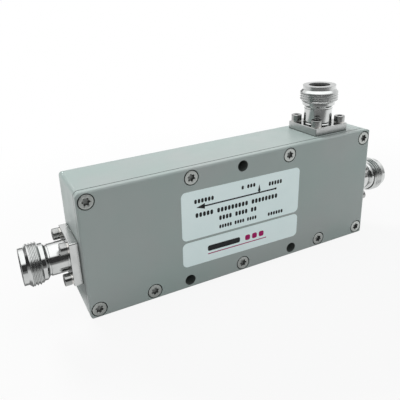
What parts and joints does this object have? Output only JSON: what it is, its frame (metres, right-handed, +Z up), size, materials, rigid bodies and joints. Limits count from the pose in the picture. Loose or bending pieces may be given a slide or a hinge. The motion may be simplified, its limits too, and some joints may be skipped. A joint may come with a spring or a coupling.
{
  "type": "directional coupler",
  "caption": "Slim rectangular metal housing with a screwed cover and threaded coaxial jacks on both ends and on top, which taps a small share of a radio signal.",
  "frame": {"origin": "middle of the bottom face of the housing", "axes": "+X along the length towards the input jack, -Y out of the front cover, +Z up towards the coupled jack"},
  "size_m": [0.172, 0.0256, 0.0705],
  "materials": {
    "housing_paint": "grey-green paint on machined aluminium",
    "screw_steel": "plain stainless steel",
    "jack_plate": "bright nickel plating on brass",
    "gasket": "dark sheet",
    "insulator": "white fluoropolymer",
    "contact": "gold plating",
    "line": "silver-plated aluminium",
    "load_base": "copper alloy",
    "load_chip": "alumina ceramic",
    "label": "pale polyester film"
  },
  "bodies": {
    "root": {"housing": "housing_paint", "cover": "housing_paint", "cover_screws": "screw_steel", "flange_screws": "screw_steel", "lock_washers": "screw_steel", "load_screws": "screw_steel", "main_line": "line", "coupled_line": "line", "line_supports": "insulator", "load_base": "load_base", "load_chip": "load_chip", "load_tab": "contact", "label_upper": "label", "label_lower": "label", "output_jack": "jack_plate", "output_gasket": "gasket", "output_insulator": "insulator", "output_contact": "contact", "input_jack": "jack_plate", "input_gasket": "gasket", "input_insulator": "insulator", "input_contact": "contact", "coupled_jack": "jack_plate", "coupled_gasket": "gasket", "coupled_insulator": "insulator", "coupled_contact": "contact"}
  },
  "joints": []
}
